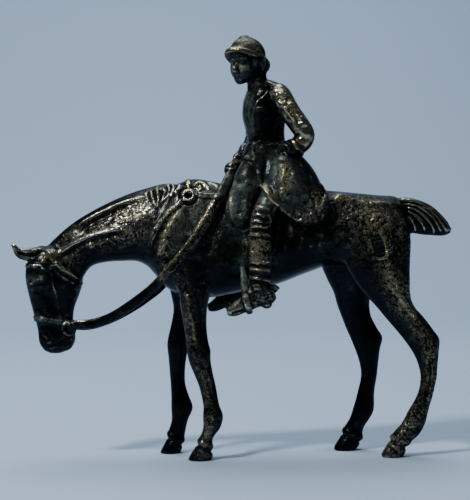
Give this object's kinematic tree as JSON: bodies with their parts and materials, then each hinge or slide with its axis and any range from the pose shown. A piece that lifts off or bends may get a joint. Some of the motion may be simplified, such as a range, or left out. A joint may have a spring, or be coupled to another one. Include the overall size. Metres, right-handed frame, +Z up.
{
  "type": "equestrian statuette",
  "caption": "Solid cast bronze figure of a rider in coat and cap astride a standing horse with lowered head, one arm akimbo, reins and crop in the other hand.",
  "frame": {"origin": "centre of the bounding box at the level of the soles of the hooves", "axes": "+Z up, the horse faces -X, its near (left) side towards -Y"},
  "size_m": [0.0746, 0.0202, 0.0712],
  "materials": {
    "bronze": "cast bronze with a near-black patina, blue-green in the hollows and rubbed to pale metal on the edges"
  },
  "bodies": {
    "root": {"horse_and_rider": "bronze"}
  },
  "joints": []
}
